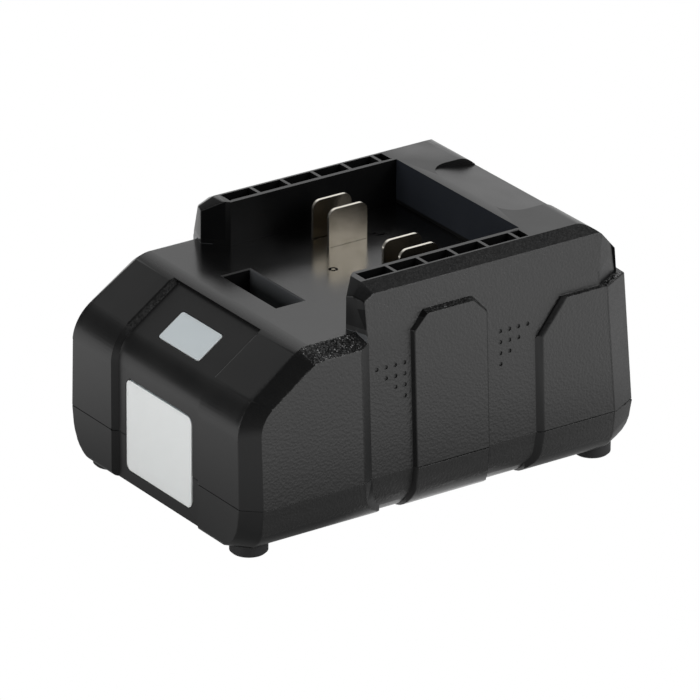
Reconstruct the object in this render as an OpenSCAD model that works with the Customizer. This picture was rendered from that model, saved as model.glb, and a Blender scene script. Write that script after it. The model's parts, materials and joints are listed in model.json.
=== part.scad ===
/* [Body] */
// Overall width across the raised side panels at the seam
body_w = 84; // [80:1:90]
// Overall length from the front face to the rear face
body_l = 120.4; // [118:0.2:130]
// Height of the seam between the two shells above the table
seam_z = 15.5; // [14:0.5:17]
// Height of the deck and bay floor above the table
deck_z = 53.6; // [52:0.2:57]
// Height of the rail tops above the table
top_z = 65.5; // [64.5:0.5:70]
// Height of the underside above the table
under_z = 2.8; // [2.6:0.1:3.4]
// Wall thickness of both shells
wall = 2.2; // [1.8:0.1:2.6]
// Radius of the long lower edges of the sides
under_r = 8.5; // [7:0.5:9]
// Radius of the lower edge of the rear
under_rear_r = 10; // [8:0.5:11]
// Inward lean of the side faces in degrees
side_draft = 3; // [2:0.25:3.5]
// Inward lean of the rear face in degrees
rear_draft = 3.1; // [2.7:0.1:4]
// Height of the raised side and rear panels
panel_step = 1.35; // [1:0.05:1.6]

/* [Front] */
// Height above the table where the upright front face starts to curl back
brow_z = 33.8; // [32:0.2:35]
// Angle of the sloping face above the level in degrees
slope_a = 34.5; // [33:0.5:37]
// Distance from the front face to the top of the slope
slope_y = 19.8; // [18.5:0.1:21]
// Radius that blends the slope into the deck
blend_r = 8; // [5:0.5:10]
// Reach of the corner strip across the front face
strip_x = 4.1; // [3.6:0.1:4.6]
// Reach of the corner strip back along the side
strip_y = 4.6; // [4:0.1:5]
// Drop of the corner strip below the slope, square to it
strip_s = 3.3; // [3:0.1:3.8]
// Drop of the corner strip below the deck
strip_z = 2.8; // [2.4:0.1:3.2]
// Width of the shallow panel in the middle of the front
panel_w = 37; // [35:0.1:40]
// Depth of the shallow panel in the middle of the front
panel_d = 1.5; // [1.2:0.1:1.8]

/* [Windows] */
// Width of the large light window
window_w = 29.3; // [27:0.1:31]
// Height of the large light window
window_h = 24.8; // [22:0.1:25.4]
// Height above the table of the lower edge of the large light window
window_z = 6.4; // [6:0.1:7.4]
// Corner radius of the large light window
window_r = 1.8; // [1:0.1:3]
// Width of the indicator window
lamp_w = 18; // [15:0.1:20]
// Length of the indicator window along the slope
lamp_l = 9; // [7.5:0.1:9.4]
// Distance along the slope from its top to the indicator window
lamp_s = 7.2; // [6.6:0.1:7.6]
// Width of the flange behind each window
flange_w = 1.6; // [1.2:0.1:2]
// Thickness of the flange behind each window
flange_t = 1.2; // [1:0.1:1.5]

/* [Battery bay] */
// Width between the two rails
bay_w = 53.6; // [52:0.2:55]
// Distance from the front face to the rear wall of the bay
bay_y = 92; // [90:0.5:94]
// Distance from the front face to the blunt tips of the rails
tip_y = 35; // [34:0.5:36]
// Run of the lead-in facet at the tip of each rail
lead_in = 6; // [4:0.5:7]
// Width of the blunt tip of each rail
tip_w = 1.5; // [1.2:0.1:2.2]
// Slant of the blunt tip towards the outside
tip_slant = 1.1; // [0.6:0.1:1.6]
// Run of the corner strip beside each rail tip, at the top of the rail
turn_top = 1.7; // [1.4:0.1:2.4]
// Run of the corner strip beside each rail tip, at the deck
turn_foot = 1.4; // [1:0.1:1.8]
// Run of the turn from the corner strip up to the dark edge strip
turn_l = 4.7; // [3.5:0.1:5.5]
// Height of the sloping cut on top of each rail tip
tip_cut_z = 3.3; // [2:0.1:4]
// Length of the sloping cut on top of each rail tip
tip_cut_y = 4.6; // [3:0.1:6]
// Half width of the flat on top of the rails
flat_x = 32.8; // [32:0.1:34]
// Width of the dark edge strip beside the rail tops
edge_x = 3.9; // [3:0.1:4.4]
// Drop of the dark edge strip beside the rail tops
edge_z = 2.1; // [1.6:0.1:2.6]
// Width of the latch pocket in the deck
latch_w = 24; // [20:0.5:28]
// Length of the latch pocket along the bay
latch_l = 8.3; // [6:0.1:9.5]
// Depth of the latch pocket
latch_d = 7; // [5:0.5:8]
// Distance from the front face to the latch pocket
latch_y = 28.5; // [27.5:0.5:30]

/* [Rail pockets] */
// Spacing of the pockets along each rail
pocket_pitch = 9.36; // [9:0.02:9.6]
// Number of full pockets in each rail
pocket_n = 5; // [3:1:5]
// Thickness of the rib between two pockets
pocket_rib = 0.9; // [0.8:0.1:1.5]
// Width of each pocket
pocket_w = 4.2; // [3.6:0.1:4.4]
// Depth of each pocket
pocket_d = 9; // [6:0.5:10]
// Thickness of the rail wall between the bay and the pockets
pocket_wall = 1.2; // [1:0.1:1.3]
// Distance from the front face to the first pocket
pocket_y = 41.6; // [41.2:0.1:42.2]
// Length of the short pocket at the rear end of each rail
pocket_end = 2.6; // [2:0.1:3]

/* [Side panels] */
// Distance from the front face to the end of the front side panel
front_pad_y = 35; // [34:0.5:36]
// Length of the ramp behind the front side panel
front_ramp = 3; // [2:0.1:3.4]
// Distance from the front face to the badge panel
badge_y = 51; // [50:0.5:52]
// Length of the badge panel on its face
badge_l = 22; // [20:0.1:23]
// Height above the seam of the top of the badge panel
badge_h = 40.4; // [38:0.2:42]
// Corner cut at the top of the badge panel
badge_cut = 3.9; // [3:0.1:5]
// Ramp round the badge panel
badge_ramp = 0.6; // [0.4:0.1:1]
// Ramp round the rear panel
pad_ramp = 1.7; // [1.4:0.1:2]
// Distance from the front face to the rear panel
rear_pad_y = 90; // [88:0.5:91]
// Height above the seam where the front edge of the rear panel starts to slant
rear_pad_h1 = 25.5; // [23:0.5:27]
// Height above the seam of the top of the rear panel
rear_pad_h2 = 35; // [33:0.5:36]
// Length of the slanted edge of the rear panel
rear_pad_slant = 8; // [6:0.5:9]
// Reach of the rear corner cut along the rear face
corner_x = 4.4; // [3.6:0.1:5]
// Reach of the rear corner cut along the side
corner_y = 8.5; // [7:0.1:9.5]

/* [Rear] */
// Height above the table where the rear slope starts
rear_slope_z = 56.5; // [55.5:0.5:57]
// Length of the rear slope and its curl, seen from the side
rear_slope_l = 6.5; // [5.5:0.1:7]
// Rise of the rear slope below its curl
rear_slope_h = 6.6; // [5.5:0.1:6.8]
// Width of the shallow scoop in the rear top
scoop_w = 36; // [30:0.5:42]
// Depth of the shallow scoop
scoop_d = 2; // [1.2:0.1:2.4]
// Width of the mains inlet opening
inlet_w = 17; // [16:0.5:18.5]
// Height of the mains inlet opening
inlet_h = 8.6; // [8:0.2:9.4]
// Height above the seam of the middle of the mains inlet
inlet_c = 9; // [8.5:0.5:12]
// Depth of the mains inlet socket
inlet_d = 12.5; // [11:0.5:13]

/* [Feet] */
// Diameter of each foot
foot_d = 9.8; // [8:0.2:11]
// Distance of the foot centres from the middle
foot_x = 31; // [29:0.5:32]
// Distance of the front feet from the front face
foot_front = 7.6; // [7.2:0.1:9]
// Distance of the rear feet from the rear face
foot_rear = 7.4; // [7:0.1:9]
// Depth of the seat that holds each foot
foot_seat = 1; // [0.6:0.1:1.3]

/* [Contacts] */
// Thickness of each contact blade
blade_t = 0.8; // [0.6:0.1:1]
// Length of each contact blade along the bay
blade_l = 11.7; // [10:0.1:13]
// Height of each contact blade above the bay floor
blade_h = 10.3; // [8:0.1:11]
// Corner radius at the top of each contact blade
blade_r = 2.3; // [1.5:0.1:3]
// Distance of the inner blades from the middle
blade_x1 = 12; // [11:0.1:13]
// Distance of the outer blades from the middle
blade_x2 = 19.1; // [18:0.1:20]
// Distance from the front face to the contact blades
blade_y = 60.7; // [59:0.1:62]
// Height of the block that holds the blades
holder_h = 8; // [7:0.5:9]

/* [Electronics] */
// Thickness of the printed boards
board_t = 1.6; // [1.2:0.2:2]
// Height of the main board's underside above the inner floor
board_z = 3.2; // [2.8:0.1:3.6]
// Clearance between the main board and the shell
board_gap = 3.4; // [3.2:0.1:4]
// Diameter of the housing screws
screw_d = 3; // [2.6:0.1:3.2]
// Diameter of the housing screw posts
post_d = 8; // [7.6:0.2:8.6]
// Distance of the housing screws from the middle
post_x = 31.5; // [31:0.5:32]
// Distance from the front face to the front housing screws
post_y1 = 24; // [23:0.5:26]
// Distance from the rear face to the rear housing screws
post_y2 = 24; // [23:0.5:26]
// Length of the transformer core
core_l = 30; // [28:0.5:32]
// Width of the transformer core
core_w = 26; // [24:0.5:28]
// Height of the transformer core
core_h = 22; // [20:0.5:22.5]
// Thickness of each limb of the transformer core
limb_t = 6; // [5:0.5:7]
// Diameter of the mains filter capacitor
bulk_d = 18; // [16:0.5:19]
// Length of the mains filter capacitor
bulk_l = 26; // [22:0.5:28]
// Diameter of the output capacitors
out_d = 10; // [8:0.5:10.5]
// Height of the output capacitors
out_h = 20; // [16:0.5:22]
// Height of the two heat sinks
sink_h = 22; // [18:0.5:24]
// Length of the two heat sinks
sink_l = 24; // [20:0.5:25]
// Thickness of the heat sinks' sheet
sink_t = 1.6; // [1:0.2:2]
// Diameter of the mains choke
choke_d = 17; // [14:0.5:18]
// Height of the mains choke
choke_h = 12; // [9:0.5:13]
// Diameter of the hole through the mains choke
choke_bore = 6; // [4:0.5:8]
// Width of the mains line capacitor
line_w = 16; // [12:0.5:18]
// Length of the mains line capacitor, along the board
line_l = 8; // [6:0.5:9]
// Height of the mains line capacitor
line_h = 14; // [10:0.5:16]
// Thickness of the bridge rectifier
bridge_w = 4; // [3:0.5:5]
// Length of the bridge rectifier
bridge_l = 16; // [14:0.5:17]
// Height of the bridge rectifier
bridge_h = 12; // [10:0.5:14]
// Diameter of the fuse's end caps
fuse_d = 5; // [4:0.5:6]
// Length of the fuse
fuse_l = 16; // [14:0.5:17]
// Width of the control chip's body
chip_w = 6; // [5:0.5:7]
// Length of the control chip's body
chip_l = 10; // [8:0.5:11]
// Width of the optocoupler's body
opto_w = 6.4; // [5:0.2:7]
// Length of the optocoupler's body
opto_l = 4.6; // [4:0.2:6]
// Diameter of the mains pins
pin_d = 2.2; // [2:0.1:2.4]
// Distance between the mains pins
pin_pitch = 8.4; // [8:0.1:8.8]
// Diameter of the wires
lead_d = 1.6; // [1.2:0.1:1.8]

/* [Fits] */
// Clearance between parts that slide together
slip = 0.2; // [0.1:0.05:0.3]
// Smallest gap between neighbours on the main board
part_gap = 1; // [0.8:0.1:1.2]

/* [Hidden] */
$fn = 48;

half_w = body_w/2;
low_draft = 2;             // lean of the lower shell's faces, in degrees
front_under_r = 1.4;       // radius of the lower edge of the front
core_x = half_w - panel_step;
deck_h = deck_z - seam_z;
shoulder_x = core_x - deck_h*tan(side_draft);
edge_out = flat_x + edge_x;
rear_in = body_l - panel_step;
eps = 0.01;
far = 200;

// ---------- drawing planes ----------

// A plan outline raised from z0 to z1
module rise(z0, z1) translate([0, 0, z0]) linear_extrude(z1 - z0) children();

// A side outline drawn with y and z, carried across from x0 to x1
module across(x0, x1) translate([x0, 0, 0]) rotate([90, 0, 90]) linear_extrude(x1 - x0) children();

// A front outline drawn with x and z, carried back from y0 to y1
module carry(y0, y1) translate([0, y1, 0]) rotate([90, 0, 0]) linear_extrude(y1 - y0) children();

// A box from its two corners
module block(a, b) translate(a) cube(b - a);

// The same shape on the right and on the left
module both() {
    children();
    mirror([1, 0, 0]) children();
}

// Everything stands on the table with its middle at the origin
module place() translate([0, -body_l/2, 0]) children();

// Frame of a leaning side face: x outward from the face, z up along it
module side_frame(lean) translate([half_w, 0, seam_z]) rotate([0, -lean, 0]) children();

// Frame of the leaning rear face: y outward from the face, z up along it
module rear_frame(lean) translate([0, body_l, seam_z]) rotate([lean, 0, 0]) children();

// Frame of the front slope: y up the slope from its lower end to its top, z outward
module slope_frame() translate([0, slope_y, deck_z]) rotate([slope_a, 0, 0]) children();

// ---------- front outline: upright face, curl, slope, blend and deck ----------

arc_n = 12;
blend_n = 6;
turn = 90 - slope_a;
brow_r = (deck_z - brow_z - slope_y*tan(slope_a))/(sin(turn) - (1 - cos(turn))*tan(slope_a));
// Height of the curl's centre: face set back by d, slope set in by s, curl radius r
function curl_c(d, s, r) = deck_z - (s + r - (d + r - slope_y)*sin(slope_a))/cos(slope_a);
// Where the slope, set in by s, meets the deck, lowered by t
function slope_top(s, t) = slope_y + (s - t*cos(slope_a))/sin(slope_a);
function curl_pt(d, s, r, k) = let (a = turn*k/arc_n) [d + r - r*cos(a), curl_c(d, s, r) + r*sin(a)];
function blend_pt(s, t, k) = let (a = slope_a*k/blend_n)
    [slope_top(s, t) + blend_r*(tan(slope_a/2) - sin(a)), deck_z - t - blend_r*(1 - cos(a))];
function front_pts(d, s, t, r, low, rear) = concat(
    [[rear, low], [d, low]],
    [for (k = [0:arc_n]) curl_pt(d, s, r, k)],
    [for (k = [blend_n:-1:0]) blend_pt(s, t, k)],
    [[rear, deck_z - t]]);

// The front outline as a slab: half widths at the seam, at the brow and at the deck
module front_slab(pts, w, w_brow, w_deck) intersection() {
    across(-w, w) polygon(pts);
    carry(-1, far) polygon([
        [-w, seam_z], [-w_brow, brow_z], [-w_deck, deck_z], [-w_deck, top_z],
        [w_deck, top_z], [w_deck, deck_z], [w_brow, brow_z], [w, seam_z]]);
}

// ---------- edges of the raised panels ----------

// Keeps what lies past a sloping panel edge through (y, z), turned by a about the side
module past_edge(y, z, a, ramp) translate([0, y, z]) rotate([a, 0, 0])
    translate([0, 0, -far]) linear_extrude(2*far) polygon([
        [2, 2*ramp/panel_step], [2, far], [-far, far],
        [-far, -3*ramp/panel_step], [-3, -3*ramp/panel_step]]);

// Cuts the rear corner, s inside the full level and w inside the outer face
module corner_cut(side_lean, rear_lean, s, w) {
    n = [corner_y, corner_x]/norm([corner_x, corner_y]);
    both() translate([half_w, body_l, seam_z]) rotate([rear_lean, -side_lean, 0])
        translate([-s - w*n[0], -s - w*n[1], -far/2]) linear_extrude(far) polygon([
            [-2*corner_x, corner_y], [corner_x, -2*corner_y], [20, -2*corner_y], [20, 20],
            [-2*corner_x, 20]]);
}

// ---------- upper shell ----------

// Cross-section behind the front panel, down to the seam; w thins it for the cavity
module core_section(w) polygon([
    [-core_x + w, seam_z], [-shoulder_x + w, deck_z], [-edge_out + w, top_z - edge_z],
    [-flat_x, top_z], [flat_x, top_z], [edge_out - w, top_z - edge_z],
    [shoulder_x - w, deck_z], [core_x - w, seam_z]]);

// Side outline of the part behind the slope, with the cut on the rail tips
rear_top_y = rear_in - (rear_slope_z - seam_z)*tan(rear_draft);
curl_y = rear_top_y - rear_slope_l;
curl_z = rear_slope_z + rear_slope_h;
crown_y = curl_y - 5;
module core_outline() polygon(concat(
    [[tip_y, seam_z], [tip_y, top_z - tip_cut_z], [tip_y + tip_cut_y, top_z]],
    [for (k = [0:5]) [crown_y + (curl_y - crown_y)*k/5, top_z - (top_z - curl_z)*pow(k/5, 2)]],
    [[rear_top_y, rear_slope_z], [rear_in, seam_z]]));

block_rear = tip_y + 12;
strip_lean = 2.5;          // how far the strip's inner edge moves in above the brow
curl_in = brow_r - strip_s; // radius of the curl along the strip's outer edge
module front_block() intersection() {
    hull() {
        front_slab(front_pts(0, 0, 0, brow_r, seam_z, block_rear),
            half_w - strip_x, half_w - strip_x - strip_lean/5, half_w - strip_x - strip_lean);
        front_slab(front_pts(strip_y, strip_s, strip_z, curl_in, seam_z, block_rear),
            half_w, half_w - (brow_z - seam_z)*tan(side_draft), half_w - deck_h*tan(side_draft));
    }
    both_edges();
}

// The ramp behind the front side panel, on both sides
module both_edges() {
    intersection() {
        side_frame(side_draft) ramp_back();
        mirror([1, 0, 0]) side_frame(side_draft) ramp_back();
    }
}
module ramp_back() translate([0, front_pad_y, -far/2]) linear_extrude(far) polygon([
    [2, -2*front_ramp/panel_step], [2, -far], [-far, -far],
    [-far, 3*front_ramp/panel_step], [-3, 3*front_ramp/panel_step]]);

// Plan of everything cleared from the bay: in front of the rails and between them
tip_x = bay_w/2 + lead_in;
tip_out = tip_x + tip_w;
tip_back = tip_y + tip_slant;
function rail_pts(s) = [[s*bay_w/2, bay_y], [s*bay_w/2, tip_y + lead_in], [s*tip_x, tip_y],
    [s*tip_out, tip_back], [s*far, tip_back], [s*far, -far]];
module bay_plan() polygon(concat(rail_pts(1), [for (k = [5:-1:0]) rail_pts(-1)[k]]));

// Corner strip beside each rail tip: it turns from the deck up to the top of the rail
tip_top = [flat_x, tip_y + tip_cut_y, top_z];
strip_in = [tip_out, tip_back, top_z - tip_cut_z*(1 - tip_slant/tip_cut_y)];
strip_foot = [tip_out, tip_back, deck_z];
strip_out = [edge_out, tip_back + turn_top, top_z - edge_z];
strip_out_foot = [shoulder_x, tip_back + turn_foot, deck_z];
function face_n(a, b, c) = cross(b - a, c - a)/norm(cross(b - a, c - a));
module beyond(p, n) translate(p) rotate([0, acos(n[2]), atan2(n[1], n[0])])
    block([-far, -far, 0], [far, far, far]);
edge_start = [edge_out, tip_back + turn_l, top_z - edge_z];
module strip_cut() intersection() {
    block([0, 0, deck_z - strip_z - 3], [far, block_rear, top_z + 1]);
    union() {
        beyond(strip_in, face_n(strip_in, strip_foot, strip_out_foot));
        beyond(strip_in, face_n(strip_in, strip_out_foot, strip_out));
        beyond(strip_in, face_n(tip_top, strip_in, edge_start));
    }
}

module core() difference() {
    intersection() {
        carry(tip_y, body_l) core_section(0);
        across(-half_w, half_w) core_outline();
    }
    rise(deck_z, top_z + 1) bay_plan();
    both() strip_cut();
    corner_cut(side_draft, rear_draft, panel_step, 0);
}

// Full level slab that the badge and rear panels are cut from
module full_slab(y0, y1, h) intersection() {
    block([-half_w, y0, seam_z], [half_w, y1, seam_z + h]);
    side_frame(side_draft) block([-far, -far, -1], [0, far, far]);
    mirror([1, 0, 0]) side_frame(side_draft) block([-far, -far, -1], [0, far, far]);
    rear_frame(rear_draft) block([-far, -far, -1], [far, 0, far]);
}

module badge_side() side_frame(side_draft) intersection() {
    past_edge(badge_y, 0, 0, badge_ramp);
    past_edge(badge_y + badge_l, 0, 180, badge_ramp);
    past_edge(0, badge_h, -90, badge_ramp);
    past_edge(badge_y, badge_h - badge_cut, -45, badge_ramp);
    past_edge(badge_y + badge_l, badge_h - badge_cut, -135, badge_ramp);
}
module badge_panel() intersection() {
    full_slab(badge_y - 4, badge_y + badge_l + 4, badge_h + 4);
    both() intersection() {
        badge_side();
        block([bay_w/2 + 3, 0, 0], [far, far, far]);
    }
}

rear_slant_a = atan2(rear_pad_slant, rear_pad_h2 - rear_pad_h1);
module rear_side() side_frame(side_draft) intersection() {
    past_edge(rear_pad_y, 0, 0, pad_ramp);
    past_edge(rear_pad_y, rear_pad_h1, -rear_slant_a, pad_ramp);
    past_edge(0, rear_pad_h2, -90, pad_ramp);
}
module rear_panel() difference() {
    intersection() {
        full_slab(rear_pad_y - 4, body_l + 1, rear_pad_h2 + 4);
        rear_side();
        mirror([1, 0, 0]) rear_side();
        rear_frame(rear_draft) rotate([0, 0, 90]) past_edge(0, rear_pad_h2, -90, pad_ramp);
    }
    corner_cut(side_draft, rear_draft, 0, 0);
}

// Trough of the shallow front panel: x across, second axis out from the face
trough_ramp = 1.1;
trough_out = panel_w/2 + trough_ramp*(2 + panel_d)/panel_d;
trough_pts = [[-panel_w/2, -panel_d], [panel_w/2, -panel_d], [trough_out, 2], [-trough_out, 2]];
slope_l = (slope_y - curl_pt(0, 0, brow_r, arc_n)[0])/cos(slope_a);
trough_top = 1.2;          // distance of the panel's upper end below the top of the slope
module front_trough() {
    rise(-1, brow_z + eps) polygon([for (p = trough_pts) [p[0], -p[1]]]);
    translate([0, brow_r, brow_z]) rotate([-90, 0, -90]) rotate([0, 0, -turn])
        rotate_extrude(angle = turn) polygon([for (p = trough_pts) [brow_r + p[1], p[0]]]);
    slope_frame() translate([0, -trough_top, 0]) rotate([90, 0, 0])
        linear_extrude(slope_l - trough_top + eps) polygon(trough_pts);
}

// Pockets along the top of the right rail
pocket_x = bay_w/2 + pocket_wall;
module rail_pockets() {
    z0 = top_z - pocket_d;
    for (i = [0:pocket_n - 1])
        block([pocket_x, pocket_y + i*pocket_pitch, z0],
            [pocket_x + pocket_w, pocket_y + (i + 1)*pocket_pitch - pocket_rib, top_z + 1]);
    last = pocket_y + pocket_n*pocket_pitch;
    block([pocket_x, last, z0], [pocket_x + pocket_w, last + pocket_end, top_z + 1]);
}

// Shallow scoop in the rear top, deeper towards the rear
module scoop() translate([0, bay_y + 3, top_z]) rotate([-10, 0, 0]) linear_extrude(8)
    scoop_plan(scoop_w/2, 30, 6);
module scoop_plan(w, l, r) {
    translate([-w + r, r]) circle(r);
    translate([w - r, r]) circle(r);
    translate([-w + r, 0]) square([2*(w - r), l]);
    translate([-w, r]) square([2*w, l - r]);
}

// Small round pits in two stepped groups beside the badge panel
dot_d = 1.1;
dot_y = 2.8;
dot_z = 2.95;
dot_h = 28.5;
module dots() side_frame(side_draft) for (row = [0:3])
    for (k = [0:3 - row]) {
        dot([badge_y - 2.5 - k*dot_y, dot_h - row*dot_z]);
        dot([badge_y + badge_l + 4.7 + k*dot_y, dot_h + 1.2 - row*dot_z]);
    }
module dot(p) translate([-panel_step - 0.35, p[0], p[1]]) rotate([0, 90, 0])
    cylinder(d = dot_d, h = 3, $fn = 16);

// Hollow under the deck and inside the rear block
cavity_front = panel_d + wall;
ceiling = deck_z - wall;
rear_ceiling = top_z - scoop_d - wall - 1.6;
latch_wall = 1.6;
latch_floor = deck_z - latch_d - latch_wall;
module cavity() difference() {
    intersection() {
        carry(0, body_l) core_section(wall);
        across(-half_w, half_w) polygon(concat(
            front_pts(cavity_front, cavity_front, wall, brow_r - cavity_front, seam_z - 1, bay_y + wall),
            [[bay_y + wall, rear_ceiling], [curl_y - 3, rear_ceiling],
             [rear_top_y - wall - 1, rear_slope_z - 1], [rear_in - wall, seam_z],
             [rear_in - wall, seam_z - 1]]));
    }
    corner_cut(side_draft, rear_draft, panel_step, wall);
    block([-latch_w/2 - latch_wall, latch_y - latch_wall, latch_floor],
        [latch_w/2 + latch_wall, latch_y + latch_l + latch_wall, far]);
    both() for (p = post_points) post_top(p);
    both() translate([holder_ear_x, blade_mid, ceiling - ear_boss_h]) cylinder(d = 6, h = far);
    slope_frame() both() translate([lamp_post_x, lamp_mid, lamp_board_top]) cylinder(d = 4.6, h = far);
}

// Housing screw posts, level with the seam
post_points = [[post_x, post_y1], [post_x, body_l - post_y2]];
head_d = 5.2;
head_h = 2.4;
screw_l = 14;
module post_top(p) {
    translate([p[0], p[1], seam_z - 1]) cylinder(d = post_d, h = far);
    block([p[0], p[1] - 0.7, seam_z + 2], [half_w, p[1] + 0.7, far]);
}

module upper_shell() color([0.16, 0.16, 0.16]) place() difference() {
    union() {
        difference() {
            union() {
                front_block();
                core();
                badge_panel();
                rear_panel();
            }
            front_trough();
            cavity();
        }
    }
    both() for (p = post_points) translate([p[0], p[1], seam_z - 2])
        cylinder(d = screw_d + slip, h = screw_l - 2);
    both() rail_pockets();
    scoop();
    both() dots();
    block([-latch_w/2, latch_y, deck_z - latch_d], [latch_w/2, latch_y + latch_l, deck_z + 1]);
    for (x = blade_xs) block([x - blade_t/2 - slip/2, blade_y - slip/2, ceiling - 1],
        [x + blade_t/2 + slip/2, blade_y + blade_l + slip/2, deck_z + 1]);
    window_hole(slip);
    lamp_hole(slip);
    inlet_hole(slip);
    both() translate([holder_ear_x, blade_mid, ceiling - ear_boss_h - 1])
        cylinder(d = small_screw + slip, h = 5);
    slope_frame() both() translate([lamp_post_x, lamp_mid, lamp_board_top - 1])
        cylinder(d = small_screw + slip, h = 4);
    floor_marks();
}

// Small round dimple and two short slots in the bay floor
dimple_y = 54;
mark_x = -13;
mark_y = 75;
module floor_marks() {
    translate([0, dimple_y, deck_z]) difference() {
        cylinder(d = 2.5, h = 0.8, center = true);
        cylinder(d = 1.1, h = 2, center = true);
    }
    for (i = [0, 1]) translate([mark_x + 1.5*i, mark_y + 1.6*i, deck_z]) cube([0.7, 2.4, 0.8], center = true);
}

// ---------- lower shell ----------

floor_z = under_z + wall;
low_h = seam_z - under_z;
low_x = half_w - low_h*tan(low_draft);
low_n = 8;
// Cross-section with half width x at the seam, its underside at z and long edges of radius r
module low_section(x, z, r) {
    foot_half = x - low_h*tan(low_draft);
    arc = [for (k = [0:low_n]) [foot_half - r + r*cos(90*k/low_n), z + r - r*sin(90*k/low_n)]];
    polygon(concat([[x, seam_z + 1], [x, seam_z]], arc,
        [for (k = [low_n:-1:0]) [-arc[k][0], arc[k][1]]],
        [[-x, seam_z], [-x, seam_z + 1]]));
}
// Side outline from the front f to the rear, its underside at z
module low_side(f, rear, z, rf, r) {
    low_rear = rear - low_h*tan(low_draft);
    polygon(concat([[f, seam_z + 1]],
        [for (k = [0:low_n]) [f + rf - rf*cos(90*k/low_n), z + rf - rf*sin(90*k/low_n)]],
        [for (k = [0:low_n]) [low_rear - r + r*sin(90*k/low_n), z + r - r*cos(90*k/low_n)]],
        [[rear, seam_z], [rear, seam_z + 1]]));
}
// The lower body s inside the full level and w inside the skin, from the front f
module low_body(s, w, f) {
    x = half_w - s - w;
    z = under_z + w;
    rear = body_l - s - w;
    intersection() {
        hull() {
            carry(f, rear) low_section(x - strip_x, z, under_r + 1.5 - w);
            carry(f + strip_y, rear - corner_y) low_section(x, z, under_r - w);
        }
        across(-half_w, half_w) low_side(f, rear, z, max(front_under_r - w, 0.2), under_rear_r - w);
    }
}
// Where the side and rear panels stand out
module pad_room() {
    intersection() {
        side_frame(-low_draft) ramp_back();
        mirror([1, 0, 0]) side_frame(-low_draft) ramp_back();
    }
    both() side_frame(-low_draft) intersection() {
        past_edge(badge_y, 0, 0, badge_ramp);
        past_edge(badge_y + badge_l, 0, 180, badge_ramp);
        block([-half_w/2, 0, -far], [far, far, far]);
    }
    intersection() {
        side_frame(-low_draft) past_edge(rear_pad_y, 0, 0, pad_ramp);
        mirror([1, 0, 0]) side_frame(-low_draft) past_edge(rear_pad_y, 0, 0, pad_ramp);
    }
}
module low_outer() difference() {
    union() {
        low_body(panel_step, 0, 0);
        intersection() {
            low_body(0, 0, 0);
            pad_room();
        }
    }
    front_trough();
    block([-far, -far, seam_z], [far, far, far]);
}

board_top = floor_z + board_z + board_t;
board_x = low_x - panel_step - wall - board_gap;
board_y0 = 16;
board_y1 = rear_in - wall - board_gap - 1.6;
board_posts = [[board_x - 4, post_y1 + post_d/2 + 4], [board_x - 4, board_y1 - 6]];
lip_t = 1;
lip_h = 1.4;
lip_root = 0.6;            // how far the lip's root reaches into the wall below the seam
module lip_plan(s) {
    w = core_x - wall - slip - s;
    translate([-w, cavity_front + slip + s]) square([2*w, rear_in - wall - cavity_front - 2*(slip + s)]);
}
module lip_ring(z0, z1, s, w) difference() {
    rise(z0, z1) difference() {
        lip_plan(s);
        lip_plan(lip_t);
    }
    corner_cut(side_draft, rear_draft, panel_step, w);
}
module lip() difference() {
    union() {
        lip_ring(seam_z - 3, seam_z + lip_h, 0, wall + slip);
        lip_ring(seam_z - 3, seam_z - eps, -lip_root, wall - lip_root);
    }
    block([-window_w/2 - flange_w - 2, 0, 0], [window_w/2 + flange_w + 2, 15, far]);
    both() for (p = post_points) translate([p[0] + post_d/2 + 0.5, p[1] - 2, 0]) cube([10, 4, far]);
    block([-inlet_out_w/2 - 1, body_l - 20, 0], [inlet_out_w/2 + 1, body_l, far]);
}
module lower_shell() color([0.14, 0.14, 0.14]) place() difference() {
    union() {
        difference() {
            low_outer();
            difference() {
                low_body(panel_step, wall, cavity_front);
                both() for (p = post_points) translate([p[0], p[1], 0]) cylinder(d = post_d, h = far);
                both() for (p = board_posts) translate([p[0], p[1], 0])
                    cylinder(d = 6, h = floor_z + board_z);
                both() block([light_post_x, light_back, 0],
                    [light_post_x + 3, light_back + 2, window_z + window_h/2]);
            }
        }
        lip();
    }
    both() for (p = post_points) {
        translate([p[0], p[1], 0]) cylinder(d = screw_d + slip, h = seam_z + 1);
        translate([p[0], p[1], 0]) cylinder(d = head_d + 2*slip, h = screw_head_z + eps);
    }
    both() for (p = board_posts) translate([p[0], p[1], floor_z - 1])
        cylinder(d = small_screw + slip, h = 8);
    for (p = foot_points) translate([p[0], p[1], -1])
        cylinder(d = foot_d + 2*slip, h = 1 + under_z + foot_seat);
    window_hole(slip);
}
screw_head_z = seam_z - 3.5;

// ---------- windows and their lights ----------

module round_plate(w, h, r, t) linear_extrude(t) {
    for (sx = [-1, 1]) for (sz = [-1, 1]) translate([sx*(w/2 - r), sz*(h/2 - r)]) circle(r);
    square([w - 2*r, h], center = true);
    square([w, h - 2*r], center = true);
}
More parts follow.
